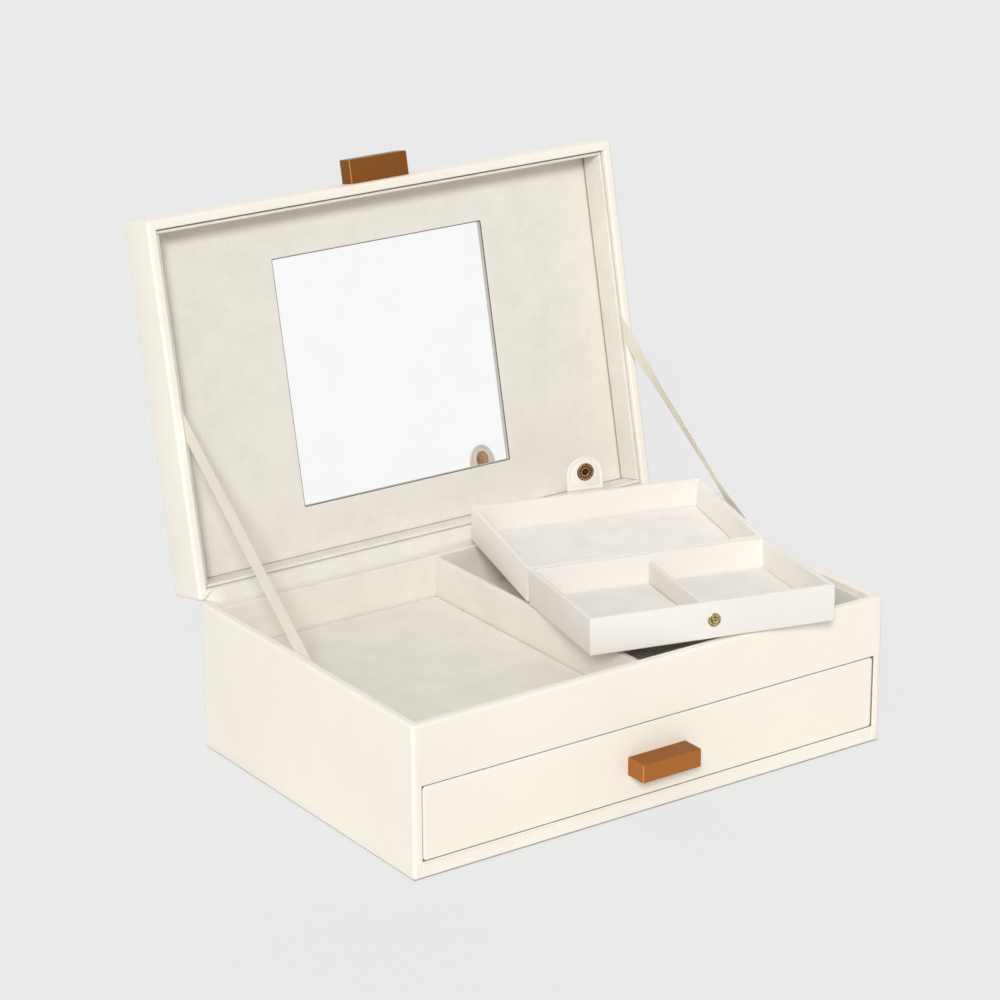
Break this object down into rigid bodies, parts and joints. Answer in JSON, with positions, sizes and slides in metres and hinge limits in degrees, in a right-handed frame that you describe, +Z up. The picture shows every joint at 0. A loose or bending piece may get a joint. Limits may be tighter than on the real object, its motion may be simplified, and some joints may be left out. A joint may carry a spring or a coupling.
{
  "type": "jewellery drawer organizer",
  "caption": "Leatherette jewellery box with a lift-up mirror lid on ribbon stays, lined compartments, a pull-out drawer below and a folding travel case with a snap tab.",
  "frame": {"origin": "middle of the felt's underside, where the box stands on the table", "axes": "+Z up, -Y towards the drawer front, X along the hinge of the lid"},
  "size_m": [0.266, 0.2532, 0.2596],
  "materials": {
    "ivory_leatherette": "smooth, satin",
    "case_leatherette": "smooth, satin",
    "tan_leather": "fine grain, satin",
    "brown_leather": "fine grain, satin",
    "suede": "napped, matte",
    "case_suede": "napped, matte",
    "ribbon": "flat woven, matte",
    "felt": "matte",
    "board": "raw fibre board",
    "card": "raw card",
    "mirror": "polished",
    "antique_brass": "aged, satin",
    "pale_brass": "satin",
    "screw_steel": "bright zinc"
  },
  "bodies": {
    "carcass": {"base_cover": "ivory_leatherette", "left_board": "board", "right_board": "board", "back_board": "board", "front_panel": "board", "bottom_board": "board", "shelf_board": "board", "base_felt": "felt", "front_liner": "suede", "back_liner": "suede", "left_liner": "suede", "right_liner": "suede", "partition": "suede", "left_floor_pad": "suede", "right_floor_pad": "suede", "left_ribbon": "ribbon", "right_ribbon": "ribbon", "hinge_band": "suede"},
    "lid": {"lid_cover": "ivory_leatherette", "lid_top_board": "board", "lid_left_board": "board", "lid_right_board": "board", "lid_back_board": "board", "lid_front_board": "board", "lid_panel": "suede", "mirror_frame": "card", "mirror": "mirror", "lid_front_liner": "suede", "lid_back_liner": "suede", "lid_left_liner": "suede", "lid_right_liner": "suede", "lid_pull": "brown_leather", "lid_pull_screws": "screw_steel"},
    "drawer": {"drawer_front_cover": "ivory_leatherette", "drawer_front": "board", "drawer_pull": "tan_leather", "drawer_pull_screws": "screw_steel", "drawer_left_side": "board", "drawer_right_side": "board", "drawer_back": "board", "drawer_bottom": "board", "drawer_pad": "suede"},
    "case_base": {"case_front_floor": "case_leatherette", "case_front_left_wall": "case_leatherette", "case_front_right_wall": "case_leatherette", "case_front_hinge_wall": "case_leatherette", "case_front_outer_wall": "case_leatherette", "case_divider": "case_leatherette", "case_front_pads": "case_suede", "snap_stud": "pale_brass"},
    "case_lid": {"case_rear_floor": "case_leatherette", "case_rear_left_wall": "case_leatherette", "case_rear_right_wall": "case_leatherette", "case_rear_hinge_wall": "case_leatherette", "case_rear_outer_wall": "case_leatherette", "case_rear_pad": "case_suede", "snap_tab_root": "case_leatherette", "case_hinge_strip": "case_leatherette"},
    "tab": {"snap_tab": "case_leatherette", "snap_socket": "antique_brass"}
  },
  "joints": [
    {"name": "lid_hinge", "type": "hinge", "parent": "carcass", "child": "lid", "pos_m": [0, 0.09, 0.0737], "axis": [1, 0, 0], "range_deg": [0, 102], "deforming": ["left_ribbon", "right_ribbon", "hinge_band"]},
    {"name": "drawer_slide", "type": "slide", "parent": "carcass", "child": "drawer", "axis": [0, -1, 0], "range_m": [0, 0.12]},
    {"name": "case_lift_out", "type": "slide", "parent": "carcass", "child": "case_base", "axis": [0, -0.9511, 0.309], "range_m": [0, 0.242]},
    {"name": "case_fold", "type": "hinge", "parent": "case_base", "child": "case_lid", "pos_m": [0.05391, -0.01048, 0.08882], "axis": [0.9681, -0.2504, 0], "range_deg": [0, 174.1], "deforming": ["case_hinge_strip"]},
    {"name": "snap_tab_flex", "type": "hinge", "parent": "case_lid", "child": "tab", "pos_m": [0.07416, 0.06782, 0.09328], "axis": [-0.9681, 0.2504, 0], "range_deg": [-8, 25], "stiffness_Nm_per_rad": 0.002}
  ],
  "couplings": [
    {"joint": "case_lift_out", "follows": "lid_hinge", "m_per_rad": 0.13481}
  ]
}
